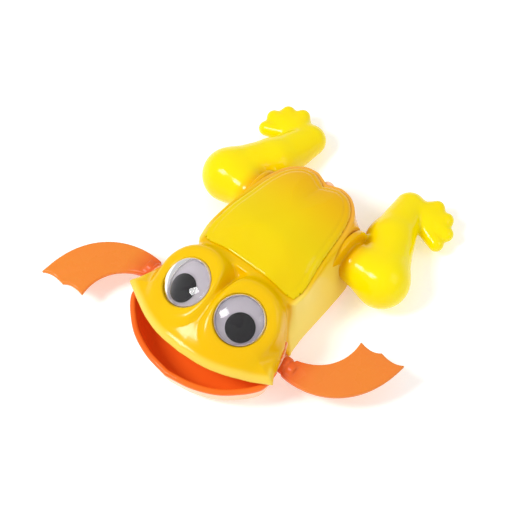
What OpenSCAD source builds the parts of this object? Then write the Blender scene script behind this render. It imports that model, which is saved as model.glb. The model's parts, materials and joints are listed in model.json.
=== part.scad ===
// Wind-up swimming bath frog. Millimetres, nose towards -Y, the frog's left side towards +X, +Z up.
// The origin is the centre of the flat belly that the frog rests on.

/* [Body] */
// Thickness of the moulded shells
wall = 1.4; // [1.2:0.1:1.6]
// Height at which the side walls meet the belly
belly_seam = 3; // [2.6:0.1:3.4]
// Height at which the head meets the chest and jaw
jaw_seam = 12.4; // [12:0.1:12.8]
// Height of the back cover's crown above its rim
cover_crown = 3.6; // [2:0.1:4.5]

/* [Eyes] */
// Outer diameter of each eye
eye_d = 15; // [14:0.1:15.4]
// Diameter of the loose pupil disc
pupil_d = 8.8; // [8:0.1:9]
// How far each pupil lies off the middle of its eye
pupil_off = 2.1; // [1.5:0.1:2.1]
// Forward lean of each eye
eye_pitch = 21.4; // [18:0.1:24]
// Outward lean of each eye
eye_roll = 15.8; // [13:0.1:18]

/* [Limbs] */
// Thickness of the front flippers
blade_t = 1.8; // [1.4:0.1:2.4]
// Angle of the left front flipper above level
flipper_rake = 4; // [0:1:10]
// Radius of the fat thigh
thigh_r = 8.3; // [7.8:0.1:8.5]
// Swing of the hind legs each way, set by the crank's throw
kick_deg = 20; // [15:1:22]

/* [Clockwork] */
// Tooth module of all the gears
gear_m = 0.45; // [0.43:0.01:0.46]
// Radius of the two axles and the mainspring arbor
axle_r = 1.2; // [1.1:0.05:1.3]
// Radius of the thin staffs that carry the gears
staff_r = 0.6; // [0.5:0.05:0.7]
// Running clearance on the radius of everything that turns
run_gap = 0.05; // [0.03:0.01:0.08]
// Turns of steel strip in the mainspring
spring_turns = 6; // [4:1:6]
// Radius of the winding knob
knob_r = 5.5; // [5:0.1:5.8]

/* [Hidden] */
$fn = 48;
eps = 0.01;
far = 200;

// Colours
yellow = "#f4dc10";
back_gold = "#ecc80c";
orange = "#e8601e";
flipper_orange = "#ea7c34";
steel = "#c8ccd0";
brass_colour = "#c9a24a";
nylon = "#f2f0ea";

// Shafts, as [y, z]
arbor_at = [-1, 11];
front_at = [-18.2, 9.4];
hind_at = [18.5, 11];

// Teeth
great_n = 36;
idler_pinion_n = 10;
idler_wheel_n = 24;
front_pinion_n = 12;
governor_pinion_n = 10;
function pitch_r(n) = n * gear_m / 2;

// The front idler sits where both of its gears reach the shafts they drive
great_reach = pitch_r(great_n) + pitch_r(idler_pinion_n);
front_reach = pitch_r(idler_wheel_n) + pitch_r(front_pinion_n);
governor_reach = pitch_r(idler_wheel_n) + pitch_r(governor_pinion_n);
function meet(a, b, ra, rb) =
  let(d = norm(b - a), u = (b - a) / d, s = (ra * ra - rb * rb + d * d) / (2 * d))
  a + s * u + sqrt(ra * ra - s * s) * [u[1], -u[0]];
function polar(r, a) = r * [cos(a), sin(a)];
function bearing(a, b) = atan2(b[1] - a[1], b[0] - a[0]);
idler_at = meet(arbor_at, front_at, great_reach, front_reach);
crank_at = arbor_at + polar(great_reach, -5);
governor_at = crank_at + polar(governor_reach, 62);
crank_reach = norm(hind_at - crank_at);
crank_r = crank_reach * sin(kick_deg);
lever_angle = bearing(hind_at, crank_at);

// Where things lie along X
right_plate_x = -10.5;
left_plate_x = 7;
plate_t = 1.4;
spring_x = -8.7;
spring_w = 5;
ratchet_x = -3.1;
great_x = -1.7;
idler_pinion_x = -2;
idler_wheel_x = 0.6;
lever_x = 4.8;
knob_floor_x = -14.6;
knob_face_x = -18.3;
bearing_x = 21.6;
hip_x = 19.8;

// Eyes: the middle of each eye's front rim, and the ball it is set in
eye_at = [9.6, -20.5, 23.6];
eye_rim_r = eye_d / 2;
eye_ball_r = 11.5;
eye_ball_depth = 6;
lens_rise = 2.6;

// Head, jaw and trunk outlines: half of each, as [x, y] from the nose backwards, at the height given first
head_rings = [
  [12.4, [[0, -36.4], [8, -35.8], [16, -33.2], [22, -30], [26.8, -27.2], [25, -22], [24, -18], [21, -10],
          [18, -6]]],
  [16.5, [[0, -35.2], [8, -34.5], [16, -31.6], [22, -27.8], [24.9, -24], [24.6, -19], [22, -11], [18.5, -6]]],
  [21, [[0, -30], [8, -29.4], [15, -26.8], [20, -22.8], [21.4, -18], [20, -12], [16, -7.5]]],
  [24, [[0, -24.5], [7, -24], [12.5, -21.6], [15.5, -17.5], [14, -12], [10, -9]]]];
jaw_rings = [
  [0, [[0, -35], [8, -33.6], [14, -30], [17, -25], [15, -8]]],
  [1.2, [[0, -39.4], [8, -37.9], [15, -34], [20, -28.5], [20.6, -22], [18, -8]]],
  [4.5, [[0, -42], [8, -40.5], [15, -37], [20.8, -32.8], [24.4, -27], [24.6, -22.4], [22.4, -8]]],
  [12.4, [[0, -42.8], [8, -41.2], [15, -37.9], [20.8, -33.2], [26.4, -28.4], [25.2, -22.6], [22.4, -8]]]];
trunk_rings = [
  [0, [[15, -14], [15.5, 4], [14.5, 16], [9, 27], [3, 30]]],
  [1.2, [[18, -14], [18.6, 4], [17.4, 18], [12, 29], [3, 33]]],
  [3, [[19, -14], [19.6, -4], [19.7, 6], [19.2, 15], [17.5, 22], [14, 29], [9, 33.2], [3, 34.2]]],
  [24.8, [[18.4, -14], [18.4, -5], [16.7, 5], [15.6, 13], [14.1, 22], [11.6, 28], [8.6, 30.6], [3, 31.4]]]];
// The rim of the back cover slopes down from the neck to the tail
cover_front = [-5.6, 24.6];
cover_slope = -6.3;

// Points along a cubic curve, as many as steps + 1
function curve(p, steps) = [for (i = [0:steps])
  let(t = i / steps, s = 1 - t)
  s * s * s * p[0] + 3 * s * s * t * p[1] + 3 * s * t * t * p[2] + t * t * t * p[3]];

// A closed outline from the half outline given
function whole(half) = concat(half, [for (i = [len(half) - 1:-1:0]) [-half[i][0], half[i][1]]]);

// Turns a gear or disc drawn flat so that it lies across the frog, starting at x and reaching towards +X
module across(x, at) {
  translate([x, at[0], at[1]]) rotate([90, 0, 90]) children();
}

// A round bar or bore across the frog
module bar(x0, x1, at, r) {
  across(x0, at) cylinder(h = x1 - x0, r = r);
}

module rings_solid(rings, inset) {
  hull()
    for (ring = rings)
      translate([0, 0, ring[0] == rings[0][0] ? ring[0] + inset : ring[0] - inset])
        linear_extrude(eps) offset(delta = -inset) polygon(whole(ring[1]));
}

module both() {
  children();
  mirror([1, 0, 0]) children();
}

// ---- shells ----

// Places something drawn with its front rim at the origin and its axis along +Z into the left eye
module in_left_eye() {
  translate(eye_at) rotate([eye_pitch, eye_roll, 0]) children();
}

module eye_ball(inset) {
  in_left_eye() translate([0, 0, -eye_ball_depth]) sphere(r = eye_ball_r - inset, $fn = 40);
}

module trunk(inset) {
  rings_solid([for (i = [2:3]) trunk_rings[i]], inset);
}

// Everything below the seams, which belongs to the orange lower shell
module lower_zone() {
  translate([-far / 2, -far / 2, -far]) cube([far, far, far + belly_seam]);
  translate([-far / 2, -far, -eps]) cube([far, far - 13, jaw_seam + eps]);
}

// Everything above the sloping rim of the back cover
module cover_zone() {
  translate([0, cover_front[0], cover_front[1]]) rotate([cover_slope, 0, 0])
    translate([-far / 2, 0, 0]) cube([far, far, far]);
}

// The arch of the upper lip, lowest at the corners of the mouth
lip_top = 16.2;
lip_r = 110;
mouth_back = -23.2;
module lip_arch(r) {
  translate([0, mouth_back, lip_top - lip_r]) rotate([90, 0, 0]) cylinder(h = far, r = r, $fn = 180);
}

// The round pocket in the right flank that the winding knob sits in
pocket_r = knob_r + 3;
module knob_pocket(r, x) {
  bar(-far / 2, x, arbor_at, r);
}

// The cleft between the two rounded rear lobes, which leans with the tail
cleft_r = 3.4;
tail_lean = 7.3;
module at_tail() {
  translate([0, 34.7, belly_seam]) rotate([tail_lean, 0, 0]) children();
}
module cleft() {
  at_tail() translate([0, 0, -far / 2]) cylinder(h = far, r = cleft_r);
}

// Round bosses on the flanks that the hind legs turn against
hip_boss_r = 9.8;
module hip_boss() {
  both() bar(13, hip_x, hind_at, hip_boss_r);
}
module hip_boss_hollow() {
  both() bar(0, hip_x - wall, hind_at, hip_boss_r - wall);
}

screw_at = [[14.6, -13.9], [-14.6, -13.9]];
rear_screw_at = [0, 26.5];
post_r = 2.3;
screw_r = 0.95;
screw_head_r = 1.9;
module at_front_screws(z) {
  for (p = screw_at) translate([p[0], p[1], z]) children();
}

module upper_shell() color(yellow) {
  difference() {
    union() {
      difference() {
        union() {
          rings_solid(head_rings, 0);
          both() eye_ball(0);
          trunk(0);
        }
        rings_solid(head_rings, wall);
        both() eye_ball(wall);
        trunk(wall);
        translate([0, 0, -wall]) trunk(wall);
        // A way through the trunk's front wall for the motor
        translate([-17.3, -15.5, 0]) cube([34.6, 5.5, 13.6]);
        translate([0, 0, -wall]) rings_solid(head_rings, wall);
      }
      both() in_left_eye() translate([0, 0, -3.2]) cylinder(h = 2.4, r = eye_rim_r + 1.2);
      intersection() {
        bar(-far / 2, knob_floor_x + wall, arbor_at, pocket_r + wall);
        trunk(0);
      }
      at_front_screws(jaw_seam) cylinder(h = 8.5, r = post_r);
      hip_boss();
    }
    hip_boss_hollow();
    lower_zone();
    cover_zone();
    lip_arch(lip_r);
    knob_pocket(pocket_r, knob_floor_x);
    bar(-far / 2, 0, arbor_at, axle_r + 0.1);
    bar(-far / 2, far / 2, hind_at, axle_r + 0.1);
    both() in_left_eye() translate([0, 0, -1.4]) cylinder(h = far, r = eye_rim_r + 0.1);
    both() in_left_eye() translate([0, 0, 0.5]) cylinder(h = far, r = eye_ball_r);
    at_front_screws(jaw_seam - eps) cylinder(h = 6.5, r = screw_r);
    cleft();
  }
}

// The dome of the back: its rim outline shrinks as it rises
module back_dome(inset) {
  hull()
    for (a = [0:15:90])
      translate([0, 0, (cover_crown + 1.2 - inset) * sin(a)]) linear_extrude(eps)
        offset(delta = -inset - 8.4 * (1 - cos(a))) polygon(whole(trunk_rings[3][1]));
}

module back_cover() color(back_gold) {
  difference() {
    union() {
      translate([0, cover_front[0], cover_front[1]]) rotate([cover_slope, 0, 0])
        translate([0, -cover_front[0], 0])
          difference() {
            back_dome(0);
            translate([0, 0, -eps]) back_dome(wall);
            translate([-far / 2, cover_front[0] - far, -1]) cube([far, far, far]);
          }
      translate([rear_screw_at[0], rear_screw_at[1], belly_seam]) cylinder(h = 20, r = post_r);
    }
    translate([rear_screw_at[0], rear_screw_at[1], 0]) cylinder(h = 15, r = screw_r);
    cleft();
  }
}

// The space inside the rings, open at the top
module hollow(rings, above) {
  last = len(rings) - 1;
  hull()
    for (i = [0:last])
      translate([0, 0, i == last ? rings[i][0] + above : rings[i][0] + wall])
        linear_extrude(eps) offset(delta = -wall) polygon(whole(rings[i][1]));
}

belly_rings = [for (i = [0:2]) trunk_rings[i]];
motor_foot_y = [-12, 11];
module lower_shell() color(orange) {
  difference() {
    union() {
      difference() {
        intersection() {
          lower_zone();
          union() {
            rings_solid(jaw_rings, 0);
            rings_solid(belly_rings, 0);
          }
        }
        difference() {
          hollow(jaw_rings, 1.3);
          translate([-far / 2, mouth_back, 0]) cube([far, wall, far]);
        }
        hollow(belly_rings, 1.1);
      }
      // Feet that the motor stands on
      for (y = motor_foot_y)
        translate([right_plate_x, y, wall - 0.4])
          cube([left_plate_x + plate_t - right_plate_x, 2, 4.6 - wall]);
      // Tubes that take the shell screws
      at_front_screws(0.4) cylinder(h = jaw_seam - 0.4, r = post_r);
      translate([rear_screw_at[0], rear_screw_at[1], 0.4]) cylinder(h = belly_seam - 0.4, r = post_r);
      // Bosses round the front axle
      intersection() {
        both() bar(bearing_x, far / 2, front_at, hub_r + 1.6);
        rings_solid(jaw_rings, 0);
        lower_zone();
      }
      // Tail tab between the rear lobes
      at_tail() translate([0, -0.2, -1.6]) cylinder(h = 15.5, r = cleft_r - 0.5);
    }
    bar(-far / 2, far / 2, front_at, axle_r + 0.1);
    both() bar(hub_x - 0.2, far / 2, front_at, hub_r + 0.15);
    at_front_screws(-1) cylinder(h = far, r = screw_r + 0.15);
    at_front_screws(-1) cylinder(h = 7, r = screw_head_r + 0.2);
    translate([rear_screw_at[0], rear_screw_at[1], -1]) cylinder(h = far, r = screw_r + 0.15);
    translate([rear_screw_at[0], rear_screw_at[1], -1]) cylinder(h = 2.6, r = screw_head_r + 0.2);
  }
}

module mouth_roof() color(orange) {
  difference() {
    intersection() {
      translate([0, 0, -wall]) rings_solid(head_rings, wall + 0.02);
      union() {
        difference() {
          lip_arch(lip_r + 1.2);
          lip_arch(lip_r);
        }
        translate([-far / 2, mouth_back, jaw_seam]) cube([far, 1.2, 5]);
      }
    }
    translate([-far / 2, -far / 2, -far]) cube([far, far, far + jaw_seam]);
  }
}

// ---- eyes ----

cup_floor = -1.4;
module eye_cup() color("#e6dfe8") {
  translate([0, 0, cup_floor]) cylinder(h = 0.8, r = eye_rim_r);
  difference() {
    translate([0, 0, cup_floor]) cylinder(h = 1.8, r = eye_rim_r);
    translate([0, 0, cup_floor - eps]) cylinder(h = 2, r = eye_rim_r - 0.6);
  }
}

// Each pupil has slid to the lowest side of its cup
pupil_bearing = [-44, -112];
module pupil(side) color("#1c1c20") {
  translate(concat(polar(pupil_off, pupil_bearing[side]), [-0.45])) cylinder(h = 0.7, r = pupil_d / 2);
}

lens_r = (eye_rim_r * eye_rim_r + lens_rise * lens_rise) / (2 * lens_rise);
module lens_cap(r, base) {
  intersection() {
    translate([0, 0, 0.4 + lens_rise - lens_r]) sphere(r = r, $fn = 96);
    translate([0, 0, base]) cylinder(h = lens_rise + 1, r = eye_rim_r);
  }
}

module eye_lens() color([0.9, 0.95, 1, 0.35]) {
  difference() {
    lens_cap(lens_r, 0.4);
    lens_cap(lens_r - 0.5, 0.3);
  }
}

module in_right_eye() {
  translate([-eye_at[0], eye_at[1], eye_at[2]]) rotate([eye_pitch, -eye_roll, 0]) children();
}

// ---- front flippers ----

hub_x = 23;
hub_len = 4.5;
hub_r = 2.8;
// The outline runs along the long rounded edge, over the three toes and back along the hollow edge
flipper_toes = [[51.1, 20.5], [43.6, 19.6], [36.8, 18.8]];
web_depth = 1.3;
function web(a, b) =
  curve([a, a + 0.3 * (b - a) + [0, -web_depth], a + 0.7 * (b - a) + [0, -web_depth], b], 6);
flipper_outline = concat(
  curve([[25.4, -3.2], [37, -5], [50.3, 3.2], flipper_toes[0]], 14),
  web(flipper_toes[0], flipper_toes[1]),
  web(flipper_toes[1], flipper_toes[2]),
  curve([flipper_toes[2], [37.8, 11.3], [33.5, 4.8], [25.4, 2.7]], 12));

module flipper() color(flipper_orange) {
  difference() {
    union() {
      translate([0, 0, -blade_t / 2]) linear_extrude(blade_t) polygon(flipper_outline);
      translate([hub_x, 0, 0]) rotate([0, 90, 0]) cylinder(h = hub_len, r = hub_r);
    }
    translate([hub_x - 1, 0, 0]) rotate([0, 90, 0]) cylinder(h = 4, r = axle_r);
  }
}

module on_front_axle(turn) {
  translate([0, front_at[0], front_at[1]]) rotate([turn + flipper_rake, 0, 0]) children();
}

module front_axle() color(steel) {
  bar(-hub_x - 3, hub_x + 3, front_at, axle_r);
}

// ---- hind legs ----

hip_r = 9.5;
hip_t = 2;
knee = [28.4, 21.2, 9.1];
calf = [22.2, 33.3, 7.3];
calf_r = 6.7;
ankle = [19.8, 47, 5];
toe_tips = [[32.3, 41.6, 4.6], [32.5, 45.9, 5], [29.9, 49.9, 5.4], [25.6, 52, 5.8]];
module limb(a, ra, b, rb) {
  hull() {
    translate(a) sphere(r = ra, $fn = 24);
    translate(b) sphere(r = rb, $fn = 24);
  }
}

module hind_leg() color(yellow) {
  difference() {
    union() {
      bar(hip_x + 0.4, hip_x + 0.4 + hip_t, hind_at, hip_r);
      bar(hip_x + 0.4, knee[0], hind_at, thigh_r - 1.2);
      limb(knee, thigh_r, calf, calf_r);
      limb(calf, calf_r, ankle, 4.4);
      hull() {
        translate(ankle + [1.5, -0.5, 0]) sphere(r = 3.4, $fn = 24);
        for (tip = toe_tips) translate(tip) sphere(r = 2.1, $fn = 24);
      }
    }
    bar(hip_x, hip_x + 5, hind_at, axle_r);
    bar(0, hip_x + 0.4, hind_at, hip_boss_r + 0.8);
  }
}

module hind_axle() color(steel) {
  bar(-hip_x - 4, hip_x + 4, hind_at, axle_r);
}

// The slotted lever that the crank pin rocks, fixed to the hind axle
lever_t = 1.4;
lever_half = 2.3;
pin_r = 0.8;
module rocker_lever() color(nylon) {
  reach = crank_reach + crank_r + 1.2;
  difference() {
    union() {
      bar(lever_x - 1, lever_x + lever_t, hind_at, 2.6);
      across(lever_x, hind_at) rotate(lever_angle) {
        translate([0, -lever_half, 0]) cube([reach, 2 * lever_half, lever_t]);
        translate([reach, 0, 0]) cylinder(h = lever_t, r = lever_half);
      }
    }
    across(lever_x - 1, hind_at) rotate(lever_angle) {
      translate([crank_reach - crank_r - 1, -pin_r - 0.1, 0]) cube([2 * crank_r + 2, 2 * pin_r + 0.2, 4]);
    }
    bar(lever_x - 2, lever_x + 2 * lever_t, hind_at, axle_r);
  }
}

// ---- clockwork ----

// A gear outline: four corners to a tooth, with a tooth centred on the angle phase
tooth_root = 0.34;
tooth_tip = 0.11;
function gear_outline(n, phase) =
  let(step = 360 / n, inner = pitch_r(n) - 1.15 * gear_m, outer = pitch_r(n) + 0.85 * gear_m)
  [for (i = [0:n - 1], c = [[-tooth_root, inner], [-0.22, pitch_r(n)], [-tooth_tip, outer],
                            [tooth_tip, outer], [0.22, pitch_r(n)], [tooth_root, inner]])
    polar(c[1], phase + (i + c[0]) * step)];

module gear(x, at, n, phase, t) {
  across(x, at) linear_extrude(t) polygon(gear_outline(n, phase));
}

// The phase at which a gear of n teeth at b meets one of m teeth and phase p at a
function meshed(a, b, m, p, n) = bearing(a, b) + 180 + 180 / n - m / n * (p - bearing(a, b));

great_t = 1.5;
wheel_t = 1.3;
great_phase = 0;
idler_pinion_phase = meshed(arbor_at, idler_at, great_n, great_phase, idler_pinion_n);
crank_pinion_phase = meshed(arbor_at, crank_at, great_n, great_phase, idler_pinion_n);
front_pinion_phase = meshed(idler_at, front_at, idler_wheel_n, 0, front_pinion_n);
governor_phase = meshed(crank_at, governor_at, idler_wheel_n, 0, governor_pinion_n);

module front_pinion() color(nylon) {
  difference() {
    union() {
      gear(idler_wheel_x - 0.2, front_at, front_pinion_n, front_pinion_phase, wheel_t + 0.4);
      bar(idler_wheel_x - 2.2, idler_wheel_x - 0.2, front_at, 1.9);
    }
    bar(-far / 2, far / 2, front_at, axle_r);
  }
}

module great_wheel() color(brass_colour) {
  difference() {
    gear(great_x, arbor_at, great_n, great_phase, great_t);
    bar(great_x - 1, great_x + 3, arbor_at, axle_r + run_gap);
    for (a = [0:60:300])
      bar(great_x - 1, great_x + 3, arbor_at + polar(5, a + 30), 1.3);
  }
}

// A saw-toothed wheel on the arbor, and the click on the great wheel that it drives
ratchet_t = 1;
ratchet_n = 12;
ratchet_tip = 3.2;
module ratchet_wheel() color(steel) {
  difference() {
    across(ratchet_x, arbor_at) linear_extrude(ratchet_t)
      polygon([for (i = [0:ratchet_n - 1], c = [[0, 2.5], [0.1, ratchet_tip]])
        polar(c[1], (i + c[0]) * 360 / ratchet_n)]);
    bar(ratchet_x - 1, ratchet_x + 3, arbor_at, axle_r);
  }
}

click_at = arbor_at + polar(5, 180);
module click() color(steel) {
  bar(ratchet_x, great_x, click_at, 0.7);
  across(ratchet_x, click_at) linear_extrude(ratchet_t)
    polygon([[-0.6, 0.3], [0.5, 2.9], [1.4, 3.3], [1.5, 2.6], [0.6, -0.3]]);
}

left_staff_end = left_plate_x + plate_t - 0.1;
module idler_staff(at, x1) {
  bar(right_plate_x + 0.1, x1, at, staff_r);
}

module idler_pair(at, pinion_phase, staff_end) {
  idler_staff(at, staff_end);
  gear(idler_pinion_x, at, idler_pinion_n, pinion_phase, idler_wheel_x - idler_pinion_x + eps);
  gear(idler_wheel_x, at, idler_wheel_n, 0, wheel_t);
}

module front_idler() color(nylon) {
  idler_pair(idler_at, idler_pinion_phase, left_staff_end);
}

// The crank is carried by the right plate alone, and its pin stops just short of the slotted lever
module crank_wheel() color(nylon) {
  idler_pair(crank_at, crank_pinion_phase, idler_wheel_x + wheel_t);
  bar(idler_wheel_x + wheel_t - eps, lever_x - 0.4, crank_at + polar(crank_r, lever_angle), pin_r);
}

governor_r = 4;
module governor() color(brass_colour) {
  idler_staff(governor_at, left_staff_end);
  gear(idler_wheel_x - 0.2, governor_at, governor_pinion_n, governor_phase, wheel_t + 0.4);
  difference() {
    bar(-5.5, -3.5, governor_at, governor_r);
    for (a = [0, 180])
      bar(-6, -3, governor_at + polar(governor_r, a), 1.4);
  }
}

module mainspring_arbor() color(steel) {
  bar(knob_floor_x - 1.6, left_plate_x + plate_t - 0.1, arbor_at, axle_r);
}

module winding_knob() color(yellow) {
  difference() {
    union() {
      bar(knob_floor_x - 1.8, knob_floor_x - 0.4, arbor_at, knob_r);
      across(knob_face_x, arbor_at) {
        translate([-knob_r + 1.2, -1.2, 0]) cube([2 * knob_r - 2.4, 2.4, 2.4]);
        for (s = [-1, 1]) translate([s * (knob_r - 1.2), 0, 0]) cylinder(h = 2.4, r = 1.2);
      }
    }
    bar(knob_floor_x - 1.6, 0, arbor_at, axle_r);
  }
}

// A flat steel strip wound from just outside the arbor out to the housing
strip_t = 0.3;
spring_in = axle_r + 0.7;
spring_out = 6.9;
spring_steps = spring_turns * 20;
function spiral(i, side) =
  polar(spring_in + (spring_out - spring_in) * i / spring_steps + side * strip_t / 2, i * 18);
module mainspring() color("#8d949c") {
  across(spring_x, arbor_at) linear_extrude(spring_w)
    polygon(concat([for (i = [0:spring_steps]) spiral(i, -1)], [for (i = [spring_steps:-1:0]) spiral(i, 1)]));
}

housing_r = 7.3;
module spring_housing() color(nylon) {
  difference() {
    bar(right_plate_x + plate_t, spring_x + spring_w, arbor_at, housing_r + 0.9);
    bar(right_plate_x, 0, arbor_at, housing_r);
  }
}

plate_low = [-21.6, 4.2];
plate_high = [22, 19.6];
plate_corner = 2.5;
pillar_at = [[-18.6, 16.8], [-14.5, 6.4], [19.4, 17], [18.6, 6.2]];
pillar_r = 1.3;
pillar_screw_r = 0.55;
module motor_plate(x) color([0.93, 0.94, 0.9]) {
  size = plate_high - plate_low;
  difference() {
    across(x, [0, 0]) linear_extrude(plate_t) {
      translate(plate_low + [plate_corner, 0]) square([size[0] - 2 * plate_corner, size[1]]);
      translate(plate_low + [0, plate_corner]) square([size[0], size[1] - 2 * plate_corner]);
      for (y = [plate_low[0] + plate_corner, plate_high[0] - plate_corner])
        for (z = [plate_low[1] + plate_corner, plate_high[1] - plate_corner])
          translate([y, z]) circle(r = plate_corner);
    }
    for (at = [arbor_at, front_at, hind_at])
      bar(x - 1, x + plate_t + 1, at, axle_r + run_gap);
    for (at = [idler_at, crank_at, governor_at])
      bar(x - 1, x + plate_t + 1, at, staff_r + run_gap);
    for (at = pillar_at)
      bar(x - 1, x + plate_t + 1, at, pillar_screw_r);
  }
}

module motor_pillars() color(nylon) {
  for (at = pillar_at)
    difference() {
      bar(right_plate_x + plate_t, left_plate_x, at, pillar_r);
      bar(right_plate_x, left_plate_x + 1, at, pillar_screw_r);
    }
}

module motor_screws() color(steel) {
  for (at = pillar_at) {
    bar(right_plate_x + 0.4, left_plate_x + plate_t, at, pillar_screw_r);
    bar(left_plate_x + plate_t, left_plate_x + plate_t + 0.8, at, 1.1);
  }
}

module shell_screws() color(steel) {
  at_front_screws(6) {
    cylinder(h = 12, r = screw_r);
    translate([0, 0, -1.2]) cylinder(h = 1.2, r = screw_head_r);
  }
  translate([rear_screw_at[0], rear_screw_at[1], 1.6]) {
    cylinder(h = 11, r = screw_r);
    translate([0, 0, -1.1]) cylinder(h = 1.1, r = screw_head_r);
  }
}

module seal(x0, x1, at) {
  difference() {
    bar(x0, x1, at, 2.4);
    bar(x0 - 1, x1 + 1, at, axle_r + run_gap);
  }
}

module front_seals() color("#2c2c2e") both() seal(bearing_x - 0.8, bearing_x, front_at);
module hind_seals() color("#2c2c2e") both() seal(hip_x - wall - 0.8, hip_x - wall, hind_at);

upper_shell();
back_cover();
lower_shell();
mouth_roof();
in_left_eye() eye_cup();  // left_eye_cup
in_right_eye() eye_cup();  // right_eye_cup
in_left_eye() pupil(0);  // left_pupil
in_right_eye() pupil(1);  // right_pupil
in_left_eye() eye_lens();  // left_eye_lens
in_right_eye() eye_lens();  // right_eye_lens
on_front_axle(0) flipper();  // left_flipper
on_front_axle(180) mirror([1, 0, 0]) flipper();  // right_flipper
front_axle();
front_pinion();
front_seals();
hind_leg();  // left_hind_leg
mirror([1, 0, 0]) hind_leg();  // right_hind_leg
hind_axle();
rocker_lever();
hind_seals();
winding_knob();
mainspring_arbor();
ratchet_wheel();
click();
great_wheel();
mainspring();
spring_housing();
front_idler();
crank_wheel();
governor();
motor_plate(left_plate_x);  // left_motor_plate
motor_plate(right_plate_x);  // right_motor_plate
motor_pillars();
motor_screws();
shell_screws();
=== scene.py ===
"""Looks of the wind-up swimming bath frog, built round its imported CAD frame.

The moulded shells, limbs and flippers are implicit surfaces: a function gives each one's distance from a
point, and surface_mesh() turns its zero level into quads. Lengths in those functions are millimetres."""
import json
import math

import bpy
import numpy as np
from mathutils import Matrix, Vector


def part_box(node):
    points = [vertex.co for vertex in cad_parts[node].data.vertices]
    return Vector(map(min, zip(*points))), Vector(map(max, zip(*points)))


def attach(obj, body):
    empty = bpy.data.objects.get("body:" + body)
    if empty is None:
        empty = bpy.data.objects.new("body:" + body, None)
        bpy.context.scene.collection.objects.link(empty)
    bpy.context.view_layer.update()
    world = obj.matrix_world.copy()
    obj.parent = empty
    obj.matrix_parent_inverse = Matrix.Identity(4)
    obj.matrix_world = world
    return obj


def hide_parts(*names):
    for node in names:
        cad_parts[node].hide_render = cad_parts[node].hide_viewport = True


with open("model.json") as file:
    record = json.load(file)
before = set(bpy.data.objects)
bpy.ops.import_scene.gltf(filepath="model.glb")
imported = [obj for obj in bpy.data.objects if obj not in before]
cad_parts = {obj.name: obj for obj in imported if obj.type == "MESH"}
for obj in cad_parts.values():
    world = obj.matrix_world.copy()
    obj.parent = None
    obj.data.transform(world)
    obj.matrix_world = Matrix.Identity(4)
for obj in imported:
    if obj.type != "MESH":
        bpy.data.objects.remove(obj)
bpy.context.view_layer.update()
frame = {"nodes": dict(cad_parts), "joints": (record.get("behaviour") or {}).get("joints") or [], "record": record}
MM = 0.001

# ---- places, from the frame ----

JOINT = {j["name"]: j for j in frame["joints"]}


def joint_at(name):
    return np.array(JOINT[name]["pos_m"]) / MM


def box_mm(node):
    low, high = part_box(node)
    return np.array(low) / MM, np.array(high) / MM


FRONT_AXLE = joint_at("front_paddle")
HIND_AXLE = joint_at("hind_kick")
ARBOR = joint_at("wind")
EYE = joint_at("left_pupil_roll")
EYE_AXIS = np.array(JOINT["left_pupil_roll"]["axis"])
EYE_R = 7.5
BELLY_SEAM = box_mm("upper_shell")[0][2]
JAW_SEAM = box_mm("mouth_roof")[0][2]
HUB_X = box_mm("left_flipper")[0][0]
HIP_X = box_mm("left_hind_leg")[0][0]
KNOB_FACE_X = box_mm("winding_knob")[0][0]

# ---- sizes, in millimetres and degrees ----

WALL = 1.4
FLIPPER_RAKE = 4.0
GRID = 0.45  # spacing of the meshes' cells
AXLE_R = 1.2
BORE_R = 1.35
BEARING_X = 21.6
BEARING_R = 4.4
HUB_POCKET_R = 2.95
JAW_BACK_Y = -13.0
MOUTH_BACK_Y = -23.2
BULKHEAD_Y = -22.5
BULKHEAD_HALF = 0.7
BELLY_FLOOR = 1.2
GROUND_GAP = 0.18
HIP_R = 10.2
HIP_ROOT_X = 10
SCREW_R = 2.15
SCREWS = ((14.6, -13.9, 6), (0, 26.5, 1.6))  # x and y of each recess, and its depth


# ---- implicit shapes ----

def smin(a, b, k):
    """The union of two distances, blended over k."""
    h = np.clip(0.5 + 0.5 * (b - a) / k, 0, 1)
    return b + (a - b) * h - k * h * (1 - h)


def smax(a, b, k):
    """The overlap of two distances, with an edge rounded over k."""
    return -smin(-a, -b, k)


def ramp(x, low, high):
    """0 below low, 1 above high, smooth between."""
    t = np.clip((x - low) / (high - low), 0, 1)
    return t * t * (3 - 2 * t)


def bump(x, centre, width):
    return np.exp(-(((x - centre) / width) ** 2))


def length(p):
    return np.sqrt((p * p).sum(-1))


def cone(p, a, ra, b, rb):
    """A limb with round ends: radius ra at a, tapering to rb at b."""
    a, b = np.array(a, float), np.array(b, float)
    ab = b - a
    t = np.clip(((p - a) @ ab) / (ab @ ab), 0, 1)
    return length(p - a - t[..., None] * ab) - (ra + (rb - ra) * t)


def ellipsoid(p, centre, radii):
    """About the distance from an ellipsoid."""
    q = (p - np.array(centre, float)) / np.array(radii, float)
    r = length(q)
    return (r - 1) * min(radii) * np.clip(r, 0.35, 1.2)


def disc(p, x0, x1, at, r, edge):
    """A disc across the frog, from x0 to x1, with rounded edges."""
    radial = np.hypot(p[..., 1] - at[0], p[..., 2] - at[1]) - r
    return smax(radial, np.abs(p[..., 0] - (x0 + x1) / 2) - (x1 - x0) / 2, edge)


def spline(points, steps=10):
    """A smooth Catmull-Rom line through the points."""
    pts = np.array(points, float)
    ext = np.vstack([2 * pts[0] - pts[1], pts, 2 * pts[-1] - pts[-2]])
    t = np.linspace(0, 1, steps, endpoint=False)[:, None]
    rows = []
    for i in range(1, len(ext) - 2):
        p0, p1, p2, p3 = ext[i - 1 : i + 3]
        rows.append(0.5 * (2 * p1 + (p2 - p0) * t + (2 * p0 - 5 * p1 + 4 * p2 - p3) * t**2
                           + (3 * p1 - p0 - 3 * p2 + p3) * t**3))
    return np.vstack(rows + [pts[-1:]])


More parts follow.
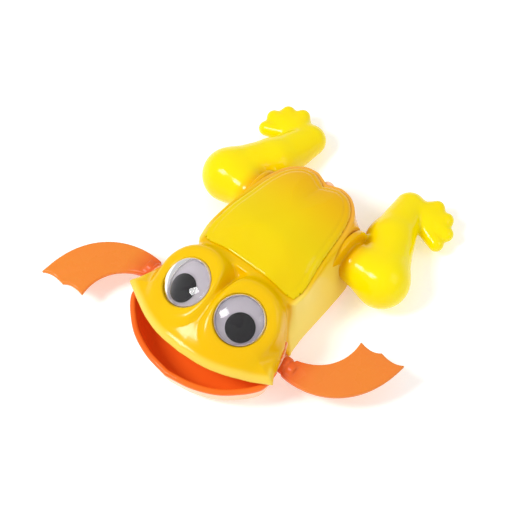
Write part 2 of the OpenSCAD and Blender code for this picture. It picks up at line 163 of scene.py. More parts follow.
class Plan:
    """The signed distance from a closed outline in a plane, kept as a fine table."""

    def __init__(self, outline, step=0.25, margin=14.0):
        poly = np.array(outline, float)
        self.low = poly.min(0) - margin
        self.step = step
        size = np.ceil((poly.max(0) + margin - self.low) / step).astype(int) + 1
        gx, gy = np.meshgrid(*[self.low[i] + step * np.arange(size[i]) for i in (0, 1)], indexing="ij")
        best = np.full(gx.shape, 1e9)
        inside = np.zeros(gx.shape, bool)
        for a, b in zip(poly, np.roll(poly, -1, 0)):
            ab = b - a
            if not ab.any():
                continue
            t = np.clip(((gx - a[0]) * ab[0] + (gy - a[1]) * ab[1]) / (ab @ ab), 0, 1)
            best = np.minimum(best, np.hypot(gx - a[0] - t * ab[0], gy - a[1] - t * ab[1]))
            if a[1] != b[1]:
                crosses = (a[1] > gy) != (b[1] > gy)
                inside ^= crosses & (gx < a[0] + (gy - a[1]) * ab[0] / ab[1])
        self.table = np.where(inside, -best, best)

    def __call__(self, x, y):
        u = np.clip((x - self.low[0]) / self.step, 0, self.table.shape[0] - 1.001)
        v = np.clip((y - self.low[1]) / self.step, 0, self.table.shape[1] - 1.001)
        i, j = u.astype(int), v.astype(int)
        fu, fv = u - i, v - j
        t = self.table
        return ((t[i, j] * (1 - fu) + t[i + 1, j] * fu) * (1 - fv)
                + (t[i, j + 1] * (1 - fu) + t[i + 1, j + 1] * fu) * fv)


def mirrored(half):
    """A closed outline from the half on the frog's left, which starts and ends on the middle line."""
    half = np.array(half)
    return np.vstack([half, (half * [-1, 1])[::-1][1:-1]])


SLAB = 12  # grid planes worked out at a time
PROBE = 0.02
SETTLING_STEPS = 3


def surface_mesh(name, f, low, high, h):
    """Quads on the zero level of f between two corners, in cells of size h: one vertex in each cell that
    the surface crosses, then a few steps along the gradient to sit on it."""
    low, high = np.array(low, float) - 2 * h, np.array(high, float) + 2 * h
    axes = [np.arange(low[i], high[i] + h, h) for i in range(3)]
    grid = np.stack(np.meshgrid(*axes, indexing="ij"), -1)
    v = np.empty(grid.shape[:3])
    for i in range(0, len(axes[0]), SLAB):
        v[i : i + SLAB] = f(grid[i : i + SLAB])
    n = tuple(s - 1 for s in v.shape)
    corner = {}
    for a in (0, 1):
        for b in (0, 1):
            for c in (0, 1):
                corner[a, b, c] = v[a : a + n[0], b : b + n[1], c : c + n[2]]
    signs = sum((k < 0).astype(int) for k in corner.values())
    cells = (signs > 0) & (signs < 8)
    ids = np.full(n, -1)
    ids[cells] = np.arange(cells.sum())
    total = np.zeros((cells.sum(), 3))
    count = np.zeros(cells.sum())
    for a in corner:
        for axis in range(3):
            if a[axis]:
                continue
            b = tuple(1 if i == axis else a[i] for i in range(3))
            va, vb = corner[a][cells], corner[b][cells]
            cut = (va < 0) != (vb < 0)
            t = np.where(cut, va / np.where(cut, va - vb, 1), 0)
            p = np.tile(np.array(a, float), (len(va), 1))
            p[:, axis] += t
            total[cut] += p[cut]
            count[cut] += 1
    base = np.stack(np.nonzero(cells), -1)
    verts = np.array([axes[i][0] for i in range(3)]) + h * (base + total / count[:, None])
    quads = []
    inside = v < 0
    for axis in range(3):
        j, k = [(1, 2), (2, 0), (0, 1)][axis]
        near = np.take(inside, range(0, inside.shape[axis] - 1), axis)
        far = np.take(inside, range(1, inside.shape[axis]), axis)
        edge = np.stack(np.nonzero(near != far), -1)
        edge = edge[(edge[:, j] > 0) & (edge[:, k] > 0) & (edge[:, j] < n[j]) & (edge[:, k] < n[k])]
        four = []
        for dj, dk in ((1, 1), (0, 1), (0, 0), (1, 0)):
            cell = edge.copy()
            cell[:, j] -= dj
            cell[:, k] -= dk
            four.append(ids[tuple(cell.T)])
        four = np.stack(four, -1)
        outward = near[tuple(edge.T)]
        quads.append(np.where(outward[:, None], four, four[:, ::-1]))
    quads = np.vstack(quads)
    for _ in range(SETTLING_STEPS):
        g = np.stack([f(verts + PROBE * e) - f(verts - PROBE * e) for e in np.eye(3)], -1) / (2 * PROBE)
        s = f(verts)
        step = s / np.maximum((g * g).sum(-1), 0.2)
        verts -= np.clip(step, -h / 2, h / 2)[:, None] * g
    return new_piece(name, verts, quads)


def tint(piece, f):
    """Stores f of each vertex, 0 to 1, for the material's second colour."""
    mesh = piece.data
    co = np.empty(len(mesh.vertices) * 3)
    mesh.vertices.foreach_get("co", co)
    tone = mesh.attributes.new("tone", "FLOAT", "POINT")
    tone.data.foreach_set("value", np.clip(f(co.reshape(-1, 3) / MM), 0, 1).astype(np.float32))
    return piece


def new_piece(name, verts_mm, faces):
    """A smooth-shaded mesh object from vertices in millimetres."""
    mesh = bpy.data.meshes.new(name)
    mesh.from_pydata((np.asarray(verts_mm) * MM).tolist(), [], [list(map(int, q)) for q in faces])
    mesh.update()
    mesh.shade_smooth()
    piece = bpy.data.objects.new(name, mesh)
    bpy.context.scene.collection.objects.link(piece)
    return piece


def lathe(name, profile, centre, axis, segments=72):
    """A turned piece: profile is (radius, height) pairs along axis from centre. It starts and ends on
    the axis."""
    axis = Vector(axis).normalized()
    side = axis.orthogonal().normalized()
    other = axis.cross(side)
    rows = []
    verts = []
    for r, z in profile:
        if r == 0:
            rows.append([len(verts)])
            verts.append(Vector(centre) + axis * z)
            continue
        rows.append(list(range(len(verts), len(verts) + segments)))
        for i in range(segments):
            a = 2 * math.pi * i / segments
            verts.append(Vector(centre) + axis * z + (side * math.cos(a) + other * math.sin(a)) * r)
    faces = []
    for low, high in zip(rows, rows[1:]):
        for i in range(segments):
            j = (i + 1) % segments
            quad = [low[i % len(low)], low[j % len(low)], high[j % len(high)], high[i % len(high)]]
            quad = [q for n, q in enumerate(quad) if q != quad[n - 1]]
            if len(quad) > 2:
                faces.append(quad)
    return new_piece(name, np.array([list(v) for v in verts]), faces)


def rounded(corners, r, steps=4):
    """A profile whose sharp corners are replaced by small arcs of radius r."""
    out = [corners[0]]
    for a, b, c in zip(corners, corners[1:], corners[2:]):
        a, b, c = map(np.array, (a, b, c))
        u, w = (a - b) / np.linalg.norm(a - b), (c - b) / np.linalg.norm(c - b)
        for i in range(steps + 1):
            t = i / steps
            out.append(tuple((1 - t) ** 2 * (b + u * r) + 2 * t * (1 - t) * b + t * t * (b + w * r)))
    return out + [corners[-1]]


# ---- outlines, half of each, from the nose backwards ----

LIP = Plan(mirrored(np.vstack([
    spline([(0, -36.5), (8, -35.8), (15, -33.6), (20.6, -30.6), (24.6, -28.3), (26.9, -27.0)]),
    spline([(26.9, -27.0), (25.2, -24.2), (23.3, -19.5), (20.9, -14.5), (16, -10.2), (9, -7.8), (0, -7.2)])])))
JAW = Plan(mirrored(np.vstack([
    spline([(0, -42.0), (8, -40.6), (15, -37.6), (20.3, -33.2), (23.4, -29.4), (24.2, -26.6)]),
    spline([(24.2, -26.6), (23.7, -22.5), (22.9, -18.5), (20.8, -13.5), (18.5, -6), (0, -5)])])))
TRUNK_LOW = Plan(mirrored(spline(
    [(0, -17), (14, -17), (20.4, -15.2), (20.0, -10), (19.7, -4), (19.8, 6), (19.4, 15), (17.6, 22),
     (14.0, 29), (9, 33.1), (4.5, 34.2), (1.8, 33.6), (0, 33.2)])))
TRUNK_TOP = Plan(mirrored(np.vstack([spline([(0, -7.4), (9, -7.1), (16.8, -5.2)]), spline(
    [(16.8, -5.2), (17.6, -1), (16.8, 5), (15.6, 13), (14.1, 22), (12.0, 27.4), (8.6, 30.8),
     (5, 31.7), (2.6, 31.0), (0, 29.8)])])))
RIM_FRONT = (-5.6, 24.6)
RIM_SLOPE = math.tan(math.radians(6.3))


def rim_z(x, y):
    """Height of the back cover's rim, which slopes to the tail and droops at the neck's corners."""
    droop = 3.8 * ramp(np.abs(x), 6, 18) * (1 - ramp(y, -6, 9))
    return RIM_FRONT[1] - RIM_SLOPE * (y - RIM_FRONT[0]) - droop


def lip_z(x):
    """Height of the upper lip's lower edge: an arch with a small dip just inside each corner."""
    return 16.2 - x * x / 220 - 0.55 * bump(np.abs(x), 20.8, 2.2) + 0.5 * ramp(np.abs(x), 23, 27)


def parts_of(p):
    return p[..., 0], p[..., 1], p[..., 2]


def from_axis(p, at):
    """Distance from the line across the frog through the point at."""
    return np.hypot(p[..., 1] - at[1], p[..., 2] - at[2])


def mirror_left(p):
    """The points, with those on the frog's right moved to its left."""
    return np.stack([np.abs(p[..., 0]), p[..., 1], p[..., 2]], -1)


# ---- shells ----

EYE_BALL = EYE - 6 * EYE_AXIS + [0, 0.5, 0]
EYE_BALL_R = 12.5


def eye_frame(p):
    """Distance off the eye's axis, and height along it above the eye's rim, for the nearer eye."""
    q = mirror_left(p) - EYE
    along = q @ EYE_AXIS
    return np.sqrt(np.maximum((q * q).sum(-1) - along**2, 1e-9)), along


def head_form(p):
    """The solid head: a bead along the lip, a domed face and two eye bulges."""
    x, y, z = parts_of(p)
    d = LIP(x, y)
    depth = np.maximum(-d, 0)
    edge = lip_z(x) + 0.9 + 3.0 * ramp(y, -16, -8)
    bead = 0.35 * bump(depth, 1.0, 0.7) * ramp(-y, 20, 24)
    top = edge + 0.9 * (1 - np.exp(-depth / 0.9)) + 7.4 * (1 - np.exp(-depth / 10.5)) + bead
    face = smax(d, (z - top) * 0.85, 1.1)
    valley = 2.1 * bump(x, 0, 2.0)
    ball = length(mirror_left(p) - EYE_BALL) - EYE_BALL_R + valley
    _, height = eye_frame(p)
    ball = smax(ball, height - 0.1, 1.6)
    return smin(face, ball, 3.0)


def trunk_form(p):
    """The solid trunk, which tapers upwards, and the hip bosses on its flanks."""
    x, y, z = parts_of(p)
    t = np.clip((z - BELLY_SEAM) / 21.8, -0.2, 1.1)
    side = TRUNK_LOW(x, y) * (1 - t) + TRUNK_TOP(x, y) * t
    side = side + 0.5 * bump(z, 13, 7) - 0.5 - 0.4 * (1 - t)
    hip = disc(mirror_left(p), HIP_ROOT_X, HIP_X - 0.6, HIND_AXLE[1:], HIP_R, 0.7)
    return smin(side, hip, 1.2)


def upper_outside(p):
    x, y, z = parts_of(p)
    trunk = smax(trunk_form(p), z - rim_z(x, y) + 0.1, 0.5)
    return smin(head_form(p), trunk, 1.8)


def below_seam(p):
    """Negative in the part of space that belongs to the lower shell."""
    _, y, z = parts_of(p)
    front = smax(z - (JAW_SEAM + 0.15), y - JAW_BACK_Y, 0.05)
    return np.minimum(z - BELLY_SEAM - 0.12, front)


def cover_space(p):
    """Negative in the opening under the back cover."""
    x, y, z = parts_of(p)
    return np.maximum(TRUNK_TOP(x, y) + 2.2, np.maximum(rim_z(x, y) - z - 4, RIM_FRONT[0] + 2.2 - y))


POCKET_R = 8.5
POCKET_X = KNOB_FACE_X + 3.7
OUTSIDE_X = -60  # beyond the frog's right side


def knob_pocket(p, r, x1):
    """The pocket round the winding knob, in to x1."""
    return disc(p, OUTSIDE_X, x1, ARBOR[1:], r, 0.6)


def upper_shell(p):
    """The head and flanks, with rings that hold the eyes, the knob's pocket, the mouth and the bores."""
    x, y, z = parts_of(p)
    outside = upper_outside(p)
    shell = np.maximum(outside, -(outside + WALL))
    off, along = eye_frame(p)
    shell = smin(shell, smax(off - EYE_R - 1.0, np.abs(along + 2.0) - 1.1, 0.3), 0.3)
    wall_behind = smax(knob_pocket(p, POCKET_R + WALL, POCKET_X + WALL), outside, 0.2)
    shell = np.minimum(shell, wall_behind)
    shell = smax(shell, -knob_pocket(p, POCKET_R, POCKET_X), 0.5)
    shell = smax(shell, -smax(off - EYE_R - 0.12, -along - 1.45, 0.1), 0.25)
    lip = np.where(y < MOUTH_BACK_Y, lip_z(x) - z, -9)
    shell = smax(shell, lip, 0.9)
    shell = smax(shell, -below_seam(p), 0.4)
    shell = np.maximum(shell, -cover_space(p))
    shell = np.maximum(shell, BORE_R - from_axis(p, HIND_AXLE))
    arbor = np.where(x < 0, from_axis(p, ARBOR) - BORE_R, 9)
    return np.maximum(shell, -arbor)


def back_cover(p):
    """The domed lid, with a groove just inside its edge and a crease down to the tail."""
    x, y, z = parts_of(p)
    d = TRUNK_TOP(x, y) + 0.12
    depth = np.maximum(-d, 0)
    dome = 0.7 * (1 - np.exp(-depth / 0.7)) + 3.9 * (1 - (1 - np.minimum(depth, 15) / 15) ** 2)
    groove = 0.22 * bump(depth, 1.9, 0.35) * ramp(y, -7, 0)
    crease = 0.25 * bump(x, 0, 0.5) * ramp(y, 17, 26)
    rise = 0.14 + 0.86 * ramp(y, RIM_FRONT[0] - 4, 7)
    top = rim_z(x, y) + 0.2 + dome * rise - groove - crease
    outside = smax(smax(d, (z - top) * 0.93, 0.7), RIM_FRONT[0] + 0.06 - y, 0.15)
    shell = np.maximum(outside, -(outside + WALL))
    return smax(shell, rim_z(x, y) - 0.15 - z, 0.2)


def lower_outside(p):
    """The solid jaw and belly, rounded underneath, with a rolled rim round the jaw."""
    x, y, z = parts_of(p)
    under = np.clip((5.2 - z) / 5.2, 0, 1)
    inset = 5.6 * (1 - np.sqrt(np.maximum(1 - under**2, 0)))
    jaw = JAW(x, y) + inset - 0.5 + 0.19 * (JAW_SEAM - z)
    jaw = smax(jaw, y - JAW_BACK_Y, 0.6)
    belly_under = np.clip((3.2 - z) / 3.2, 0, 1)
    belly_inset = 4.2 * (1 - np.sqrt(np.maximum(1 - belly_under**2, 0)))
    belly = smax(TRUNK_LOW(x, y) + belly_inset - 0.3, z - BELLY_SEAM + 0.02, 0.3)
    form = smin(jaw, belly, 1.5)
    form = smax(form, GROUND_GAP - z, 0.6)
    rim = np.where(y < -22, np.hypot(JAW(x, y) + 0.35, z - JAW_SEAM + 1.1) - 1.0, 9)
    return smin(form, rim, 0.7)


def tail_form(p):
    return ellipsoid(p, (0, 31.4, 11.5), (3.1, 3.0, 8.4))


def lower_shell(p):
    """The jaw and belly, with its bulkhead, front bearings, tail and screw holes."""
    x, y, z = parts_of(p)
    ax = np.abs(x)
    outside = lower_outside(p)
    above_floor = np.maximum(outside + WALL, BELLY_FLOOR - z)
    bulkhead = np.abs(y - BULKHEAD_Y) - BULKHEAD_HALF
    hollow = np.maximum(above_floor, -bulkhead)
    shell = smax(outside, -hollow, 0.5)
    shell = smax(shell, z - JAW_SEAM + 0.02, 0.6)
    axle = from_axis(p, FRONT_AXLE)
    bearing = smax(smax(axle - BEARING_R, BEARING_X - ax, 0.2), outside, 0.2)
    shell = np.minimum(shell, bearing)
    shell = smax(shell, -np.maximum(axle - HUB_POCKET_R, HUB_X - 0.2 - ax), 0.2)
    shell = np.maximum(shell, BORE_R - axle)
    shell = smin(shell, smax(tail_form(p), z - 19.5, 0.5), 0.8)
    for screw_x, screw_y, depth in SCREWS:
        recess = np.hypot(ax - screw_x, y - screw_y) - SCREW_R
        shell = smax(shell, -np.maximum(recess, z - depth), 0.3)
    return shell


# ---- limbs ----

KNEE = HIND_AXLE + [28.5, 2.3, -1.9]
CALF = HIND_AXLE + [21.9, 14.8, -3.6]
ANKLE = HIND_AXLE + [19.0, 28.3, -5.9]
TOES = [HIND_AXLE + t for t in
        ([32.2, 23.7, -6.3], [32.6, 28.0, -6.0], [30.0, 31.6, -5.6], [25.6, 33.1, -5.2])]


def hind_leg(p):
    """The frog's left hind leg: hip disc, thigh, shin and a four-toed foot, bored for the axle."""
    hip = disc(p, HIP_X, HIP_X + 2.0, HIND_AXLE[1:], 9.9, 0.8)
    root = cone(p, HIND_AXLE + [HIP_X + 4.4, 1.3, -0.4], 6.3, KNEE, 8.1)
    thigh = smin(root, hip, 0.9)
    shin = smin(cone(p, KNEE, 7.9, CALF, 7.1), cone(p, CALF, 7.1, ANKLE, 4.9), 1.5)
    leg = smin(thigh, shin, 1.8)
    foot = cone(p, ANKLE + [1.5, -0.5, 0.2], 3.6, HIND_AXLE + [29.4, 28.4, -6.1], 2.8)
    for toe in TOES:
        foot = smin(foot, cone(p, ANKLE + [2.5, -0.5, 0.2], 3.2, toe, 2.3), 1.6)
    leg = smin(leg, foot, 1.0)
    beside_boss = np.maximum(p[..., 0] - HIP_X, from_axis(p, HIND_AXLE) - HIP_R - 1.0)
    leg = smax(leg, -beside_boss, 0.5)
    bore = from_axis(p, HIND_AXLE) - AXLE_R
    return np.maximum(leg, -np.maximum(bore, p[..., 0] - HIP_X - 4.6))


def mirrored_shape(f):
    """The shape f on the frog's other side."""
    return lambda p: f(p * [-1, 1, 1])


# A flipper's points in its own plane: x, and the distance from the axle
TIPS = [(51.1, 20.5), (43.6, 19.6), (36.8, 18.8)]
RIB_ROOTS = [(38, 1.5), (36, 2.6), (33.5, 4.5)]


def bezier(a, b, c, d, n):
    """n points of a cubic curve from a towards d, without d."""
    t = np.linspace(0, 1, n, endpoint=False)[:, None]
    a, b, c, d = (np.array(k, float) for k in (a, b, c, d))
    return (1 - t) ** 3 * a + 3 * (1 - t) ** 2 * t * b + 3 * (1 - t) * t**2 * c + t**3 * d


def web_line(a, b, dip):
    """The sagging edge of the web between two toes."""
    a, b = np.array(a), np.array(b)
    return bezier(a, a + 0.25 * (b - a) - [0, dip], a + 0.75 * (b - a) - [0, 0.4 * dip], b, 10)


BLADE = Plan(np.vstack([
    bezier((24.8, -3.2), (37, -5.0), (50.3, 3.2), TIPS[0], 30),
    web_line(TIPS[0], TIPS[1], 1.5), web_line(TIPS[1], TIPS[2], 1.5),
    bezier(TIPS[2], (37.8, 11.3), (33.5, 4.8), (24.8, 2.7), 24)]), step=0.15, margin=4.0)


def flipper_local(x, rho, h):
    """A flipper in its own plane: x outwards, rho from the axle towards the toes, h off the plane."""
    d = BLADE(x, rho)
    out = ramp(rho, 2, 20)
    ribs = np.zeros_like(x)
    for tip, root in zip(TIPS, RIB_ROOTS):
        along = np.clip((rho - root[1]) / (tip[1] - root[1]), 0, 1)
        centre = root[0] + (tip[0] - root[0]) * along**1.5
        ribs = ribs + bump(x, centre, 1.5) * ramp(rho, root[1] + 3, tip[1])
    knuckle = 0.35 * bump(x, 29.5, 2.6) * bump(rho, 2.2, 1.8) + 0.2 * bump(x, 33, 1.2) * bump(rho, 3.2, 2.4)
    half = 0.95 - 0.35 * out + 0.3 * ribs + knuckle + 0.3 * (1 - ramp(x, 25, 30))
    blade = smax(d, np.abs(h) - half, 0.7)
    radial = np.hypot(rho, h)
    hub = smax(radial - 2.8, np.abs(x - HUB_X - 1.1) - 1.1, 0.5)
    neck = smax(radial - 2.2, np.abs(x - HUB_X - 2.4) - 2.2, 0.6)
    return smin(smin(blade, neck, 0.8), hub, 0.4)


def flipper(turn, side):
    """The flipper on one side, with its axle turned through turn degrees."""
    a = math.radians(turn + FLIPPER_RAKE)
    c, s = math.cos(a), math.sin(a)

    def f(p):
        y, z = p[..., 1] - FRONT_AXLE[1], p[..., 2] - FRONT_AXLE[2]
        return flipper_local(side * p[..., 0], y * c + z * s, z * c - y * s)
    return f


# ---- materials ----

def node_material(name):
    """A new material, its shader, a helper that adds nodes, its links and its object coordinates."""
    mat = bpy.data.materials.new(name)
    mat.use_nodes = True
    nodes, links = mat.node_tree.nodes, mat.node_tree.links
    shader = nodes["Principled BSDF"]

    def add(kind, **values):
        n = nodes.new(kind)
        for key, value in values.items():
            if hasattr(n, key):
                setattr(n, key, value)
            else:
                n.inputs[key.replace("_", " ")].default_value = value
        return n
    coords = add("ShaderNodeTexCoord")
    return mat, shader, add, links, coords


def noise(add, links, coords, scale, detail=3.0):
    n = add("ShaderNodeTexNoise", Scale=scale, Detail=detail)
    links.new(coords.outputs["Object"], n.inputs["Vector"])
    return n


def spread(add, links, source, low, high):
    """Maps the middle of a noise output's range onto low to high."""
    m = add("ShaderNodeMapRange")
    m.inputs["From Min"].default_value = 0.3
    m.inputs["From Max"].default_value = 0.7
    m.inputs["To Min"].default_value = low
    m.inputs["To Max"].default_value = high
    links.new(source, m.inputs["Value"])
    return m.outputs["Result"]


def rgba(colour):
    return (*colour, 1.0)


def mix(add, links, factor, a, b):
    m = add("ShaderNodeMix", data_type="RGBA")
    links.new(factor, m.inputs["Factor"])
    for key, value in (("A", a), ("B", b)):
        socket = [i for i in m.inputs if i.name == key and i.type == "RGBA"][0]
        if isinstance(value, tuple):
            socket.default_value = value
        else:
            links.new(value, socket)
    return [o for o in m.outputs if o.type == "RGBA"][0]


def coordinate(add, links, coords, axis):
    """One object coordinate, in metres."""
    split = add("ShaderNodeSeparateXYZ")
    links.new(coords.outputs["Object"], split.inputs["Vector"])
    return split.outputs[axis]


def fade(add, links, source, start, end):
    """0 up to start and 1 past end, smooth between."""
    m = add("ShaderNodeMapRange", interpolation_type="SMOOTHSTEP")
    m.inputs["From Min"].default_value = start
    m.inputs["From Max"].default_value = end
    links.new(source, m.inputs["Value"])
    return m.outputs["Result"]


def ripple(add, links, shader, height, strength, depth_mm):
    """Bumps on the shader's surface."""
    tilt = add("ShaderNodeBump", Strength=strength, Distance=depth_mm * MM)
    links.new(height, tilt.inputs["Height"])
    links.new(tilt.outputs["Normal"], shader.inputs["Normal"])


def plastic(name, colour, deep, rough=(0.10, 0.17), glow=0.0, painted_bounce_band=None, root=None, tone=None, painted_glow=0.0):
    """Moulded gloss plastic: cloudy colour, a faint orange-peel surface and uneven gloss. band is
    (from, to, colour): a painted tint that grows towards the tail, between places in metres, and stands in for
    orange light bounced from the lower shell. root is (from, to, colour) too, a tint by the distance from the
    middle plane. tone is the colour where the piece's tone attribute is 1. glow is light scattered under the
    surface, and inner is painted light: light given off by the plastic, a glow that brightens its shaded parts."""
    mat, shader, add, links, coords = node_material(name)
    cloud = noise(add, links, coords, 45.0)
    colour_out = mix(add, links, spread(add, links, cloud.outputs["Fac"], 0, 1), rgba(colour), rgba(deep))
    if painted_bounce_band:
        start, end, hue = painted_bounce_band
        share = fade(add, links, coordinate(add, links, coords, "Y"), start, end)
        colour_out = mix(add, links, share, colour_out, rgba(hue))
    if tone:
        painted = add("ShaderNodeAttribute", attribute_name="tone")
        colour_out = mix(add, links, painted.outputs["Fac"], colour_out, rgba(tone))
    if root:
        start, end, hue = root
        off = add("ShaderNodeMath", operation="ABSOLUTE")
        links.new(coordinate(add, links, coords, "X"), off.inputs[0])
        share = fade(add, links, off.outputs["Value"], start, end)
        colour_out = mix(add, links, share, colour_out, rgba(hue))
    links.new(colour_out, shader.inputs["Base Color"])
    gloss = noise(add, links, coords, 160.0)
    links.new(spread(add, links, gloss.outputs["Fac"], *rough), shader.inputs["Roughness"])
    peel = noise(add, links, coords, 420.0, 2.0)
    ripple(add, links, shader, peel.outputs["Fac"], 0.35, 0.012)
    shader.inputs["IOR"].default_value = 1.46
    shader.inputs["Specular IOR Level"].default_value = 0.22
    # A painted glow: emission in the piece's own colour, which brightens its shaded parts.
    if painted_glow:
        shader.inputs["Emission Color"].default_value = rgba(colour)
        shader.inputs["Emission Strength"].default_value = painted_glow
    if glow:
        shader.inputs["Subsurface Weight"].default_value = glow
        shader.inputs["Subsurface Radius"].default_value = (1.0, 0.6, 0.2)
        shader.inputs["Subsurface Scale"].default_value = 0.003
    return mat


def metal(name, colour, rough):
    """Drawn metal: fine scratches that follow the part and a slightly uneven polish."""
    mat, shader, add, links, coords = node_material(name)
    stretch = add("ShaderNodeMapping")
    stretch.inputs["Scale"].default_value = (1.0, 14.0, 14.0)
    links.new(coords.outputs["Object"], stretch.inputs["Vector"])
    scratch = add("ShaderNodeTexNoise", Scale=220.0, Detail=4.0)
    links.new(stretch.outputs["Vector"], scratch.inputs["Vector"])
    dark = tuple(c * 0.72 for c in colour)
    out = mix(add, links, spread(add, links, scratch.outputs["Fac"], 0, 1), rgba(colour), rgba(dark))
    links.new(out, shader.inputs["Base Color"])
    links.new(spread(add, links, scratch.outputs["Fac"], rough * 0.7, rough * 1.3), shader.inputs["Roughness"])
    shader.inputs["Metallic"].default_value = 1.0
    ripple(add, links, shader, scratch.outputs["Fac"], 0.3, 0.01)
    return mat


def clear_plastic(name):
    """The thin clear dome over each eye."""
    mat, shader, add, links, coords = node_material(name)
    haze = noise(add, links, coords, 90.0)
    links.new(spread(add, links, haze.outputs["Fac"], 0.01, 0.05), shader.inputs["Roughness"])
    shader.inputs["Base Color"].default_value = (1, 1, 1, 1)
    shader.inputs["Transmission Weight"].default_value = 1.0
    shader.inputs["IOR"].default_value = 1.3
    return mat


# Painted light on the yellow: its tone colour is a painted reflection on the flanks and a painted highlight along
# the lip, and its band is a painted orange bounce towards the tail.
yellow = plastic("yellow_gloss", (0.83, 0.52, 0.0), (0.83, 0.47, 0.0), glow=0.1, tone=(0.96, 0.78, 0.16),
                 painted_bounce_band=(0.010, 0.034, (0.90, 0.42, 0.05)))
# The legs' tone colour is painted shade: a deeper amber towards the hips.
leg_yellow = plastic("leg_gloss", (0.94, 0.78, 0.0), (0.94, 0.72, 0.0), glow=0.15, tone=(0.85, 0.46, 0.0))
# The back's band is a painted orange bounce from the lower shell, growing towards the tail.
back_gold = plastic("back_gloss", (0.82, 0.62, 0.0), (0.80, 0.56, 0.0), rough=(0.07, 0.12), glow=0.08,
                    painted_bounce_band=(0.006, 0.036, (0.86, 0.43, 0.0)))
# The orange's inner is a painted glow that brightens the shaded mouth.
orange = plastic("orange_gloss", (0.84, 0.125, 0.012), (0.86, 0.16, 0.015), painted_glow=0.12,
                 tone=(0.92, 0.56, 0.34))
flipper_orange = plastic("flipper_gloss", (0.80, 0.245, 0.03), (0.80, 0.22, 0.035), rough=(0.22, 0.34),
                         glow=0.1, root=(0.034, 0.025, (0.76, 0.12, 0.02)))
eye_white = plastic("eye_white", (0.74, 0.68, 0.74), (0.70, 0.64, 0.71), rough=(0.25, 0.35))
pupil_black = plastic("pupil_black", (0.012, 0.011, 0.013), (0.02, 0.018, 0.022), rough=(0.25, 0.35))
nylon = plastic("nylon", (0.80, 0.79, 0.74), (0.72, 0.71, 0.66), rough=(0.35, 0.5))
plate_white = plastic("plate_white", (0.74, 0.76, 0.73), (0.68, 0.70, 0.66), rough=(0.3, 0.45))
rubber = plastic("seal_rubber", (0.012, 0.012, 0.013), (0.02, 0.02, 0.02), rough=(0.6, 0.8))
steel = metal("steel", (0.62, 0.63, 0.65), 0.28)
blued = metal("blued_strip", (0.20, 0.24, 0.33), 0.32)
brass = metal("brass", (0.72, 0.52, 0.20), 0.3)
lens_clear = clear_plastic("lens_clear")

SLOT_MATERIALS = {
    "yellow_plastic": yellow, "back_plastic": back_gold, "orange_plastic": orange,
    "flipper_plastic": flipper_orange, "eye_white": eye_white, "pupil_black": pupil_black,
    "clear_lens": lens_clear, "steel": steel, "spring_steel": blued, "brass_wheel": brass,
    "nylon": nylon, "plate_plastic": plate_white, "seal_rubber": rubber}
SLOT_OF = {s["node"]: s["material_slot"] for s in frame["record"]["subparts"]}
for node, obj in frame["nodes"].items():
    obj.data.materials.clear()
    obj.data.materials.append(SLOT_MATERIALS[SLOT_OF[node]])


def place(piece, node, body, material=None):
    """Gives a piece its finish and its body, and hides the CAD node that it stands for."""
    piece.data.materials.append(material or SLOT_MATERIALS[SLOT_OF[node]])
    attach(piece, body)
    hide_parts(node)
    return piece


# ---- pieces ----

def painted_flank_sheen(p):
    """1 where the flanks and the lip are painted paler: a painted reflection of the white surroundings on the
    flanks and a painted highlight along the lip's edge.
    """
    x, y, z = parts_of(p)
    side = ramp(np.abs(x), 16, 17.8) * (1 - ramp(z, 20, 22.5)) * ramp(-head_form(p), -1.0, -2.2)
    lip = 0.45 * (1 - ramp(-LIP(x, y), 0.9, 2.4)) * ramp(-y, 23, 25)
    return np.maximum(side * (0.55 + 0.45 * ramp(-y, -8, 10)) * (1 - ramp(y, 16, 28)), lip)


def jaw_tone(p):
    """1 on the pale outer wall of the jaw and belly."""
    _, y, z = parts_of(p)
    outer = ramp(lower_outside(p), -0.5, -0.1)
    return outer * np.maximum(1 - ramp(z, 9.2, 11.0), ramp(y, -24, -20))


def painted_hip_shade(p):
    """1 where the legs are painted darker towards the hips: painted shade, the amber of light bounced between the
    hip and the trunk.
    """
    return (1 - ramp(np.abs(p[..., 0]), HIP_X + 2.5, HIP_X + 7.5)) * (1 - ramp(p[..., 1], 24, 31))


shell_low, shell_high = box_mm("upper_shell")
place(tint(surface_mesh("head_and_flanks", upper_shell, shell_low - 1, shell_high + 1, GRID), painted_flank_sheen),
      "upper_shell", "frog_body")
place(surface_mesh("back_lid", back_cover, (-20, -7, 17), (20, 34, 31), GRID), "back_cover", "frog_body")
place(tint(surface_mesh("jaw_and_belly", lower_shell, (-28, -43, -1), (28, 36, 21), GRID), jaw_tone),
      "lower_shell", "frog_body")
for word, leg in (("left", hind_leg), ("right", mirrored_shape(hind_leg))):
    low, high = box_mm(word + "_hind_leg")
    place(tint(surface_mesh(word + "_leg", leg, low - 1, high + 1, GRID), painted_hip_shade),
          word + "_hind_leg", "hind_drive", leg_yellow)
for side, turn, word in ((1, 0, "left"), (-1, 180, "right")):
    low, high = box_mm(word + "_flipper")
    place(surface_mesh(word + "_front_flipper", flipper(turn, side), low - 1.5, high + 1.5, GRID * 0.75),
          word + "_flipper", "front_drive")

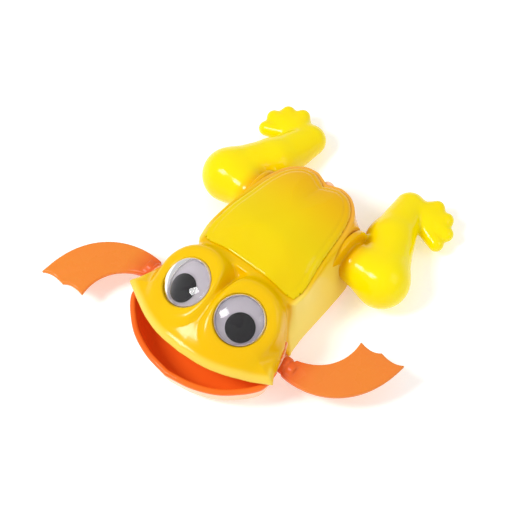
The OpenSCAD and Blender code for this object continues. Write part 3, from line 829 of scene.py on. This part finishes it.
# The eye's heights run along its axis from the pupil's joint
CUP_BACK = -1.4
CUP_FLOOR = -0.6
CUP_RIM = 0.3
LENS_FOOT = 0.4
LENS_T = 0.5
LENS_RISE = 1.7
LENS_R = (EYE_R**2 + LENS_RISE**2) / (2 * LENS_RISE)
PUPIL_R = 4.4
PUPIL_HALF = 0.35
EDGE_R = 0.12
cup = rounded([(0, CUP_BACK), (EYE_R, CUP_BACK), (EYE_R, CUP_RIM), (EYE_R - 0.35, CUP_RIM),
               (EYE_R - 0.5, CUP_FLOOR), (0, CUP_FLOOR)], EDGE_R)
dome_outside = [(LENS_R * math.sin(t), LENS_FOOT + LENS_RISE - LENS_R + LENS_R * math.cos(t))
                for t in np.linspace(0, math.asin(EYE_R / LENS_R), 20)]
dome_inside = [(r * (LENS_R - LENS_T) / LENS_R, z - LENS_T) for r, z in dome_outside[::-1]]
dome_inside[0] = (dome_inside[0][0], LENS_FOOT)
pupil = rounded([(0, -PUPIL_HALF), (PUPIL_R, -PUPIL_HALF), (PUPIL_R, PUPIL_HALF), (0, PUPIL_HALF)], EDGE_R)
for side, word in ((1, "left"), (-1, "right")):
    mirror = np.array([side, 1, 1])
    centre, axis = EYE * mirror, EYE_AXIS * mirror
    place(lathe(word + "_eye_backing", cup, centre, axis), word + "_eye_cup", "frog_body")
    dome = lathe(word + "_eye_dome", dome_outside + dome_inside, centre, axis)
    place(dome, word + "_eye_lens", "frog_body")
    low, high = box_mm(word + "_pupil")
    disc_piece = lathe(word + "_pupil_disc", pupil, (low + high) / 2, axis, 56)
    place(disc_piece, word + "_pupil", word + "_pupil_disc")

# ---- floor, light and camera ----

FLOOR_HALF = 4000
floor_corners = [(x * FLOOR_HALF, y * FLOOR_HALF, 0) for x, y in ((-1, -1), (1, -1), (1, 1), (-1, 1))]
floor = new_piece("floor", floor_corners, [(0, 1, 2, 3)])
floor_mat, floor_shader = node_material("floor_white")[:2]
floor_shader.inputs["Base Color"].default_value = (0.93, 0.93, 0.93, 1)
floor_shader.inputs["Roughness"].default_value = 0.6
floor_shader.inputs["Emission Color"].default_value = (1, 1, 1, 1)
floor_shader.inputs["Emission Strength"].default_value = 0.27
floor.data.materials.append(floor_mat)

scene = bpy.context.scene
scene.view_settings.view_transform = "Standard"
world = bpy.data.worlds.new("studio")
scene.world = world
world.use_nodes = True
world.node_tree.nodes["Background"].inputs["Color"].default_value = (1, 1, 1, 1)
world.node_tree.nodes["Background"].inputs["Strength"].default_value = 0.62


def softbox(name, at, size, watts):
    """A soft rectangular light that faces the frog."""
    data = bpy.data.lights.new(name, "AREA")
    data.shape = "RECTANGLE"
    data.size, data.size_y = size
    data.energy = watts
    light = bpy.data.objects.new(name, data)
    scene.collection.objects.link(light)
    light.location = at
    light.rotation_euler = (-Vector(at)).to_track_quat("-Z", "Y").to_euler()


softbox("key", (-0.25, -0.35, 0.62), (0.16, 0.21), 3.0)
softbox("fill", (0.55, 0.25, 0.45), (0.4, 0.4), 0.9)

CAMERA_AZIMUTH = math.radians(41.75)
CAMERA_ELEVATION = math.radians(61.33)
CAMERA_ROLL = math.radians(2.79)
CAMERA_DISTANCE = 0.680
FOCAL_MM = 162.4
AIM_RIGHT, AIM_UP = -0.00099, 0.01012  # where the camera points, from the frame's origin
right = Vector((math.cos(CAMERA_AZIMUTH), math.sin(CAMERA_AZIMUTH), 0))
forward = Vector((-math.sin(CAMERA_AZIMUTH) * math.cos(CAMERA_ELEVATION),
                  math.cos(CAMERA_AZIMUTH) * math.cos(CAMERA_ELEVATION), -math.sin(CAMERA_ELEVATION)))
up = right.cross(forward)
target = right * AIM_RIGHT + up * AIM_UP
camera_data = bpy.data.cameras.new("camera")
camera_data.lens = FOCAL_MM
camera_data.sensor_width = 36
camera_data.clip_end = 10
camera = bpy.data.objects.new("camera", camera_data)
scene.collection.objects.link(camera)
camera.location = target - forward * CAMERA_DISTANCE
camera.rotation_euler = forward.to_track_quat("-Z", "Y").to_euler()
camera.rotation_euler.rotate_axis("Z", -CAMERA_ROLL)
scene.camera = camera

bpy.context.view_layer.update()
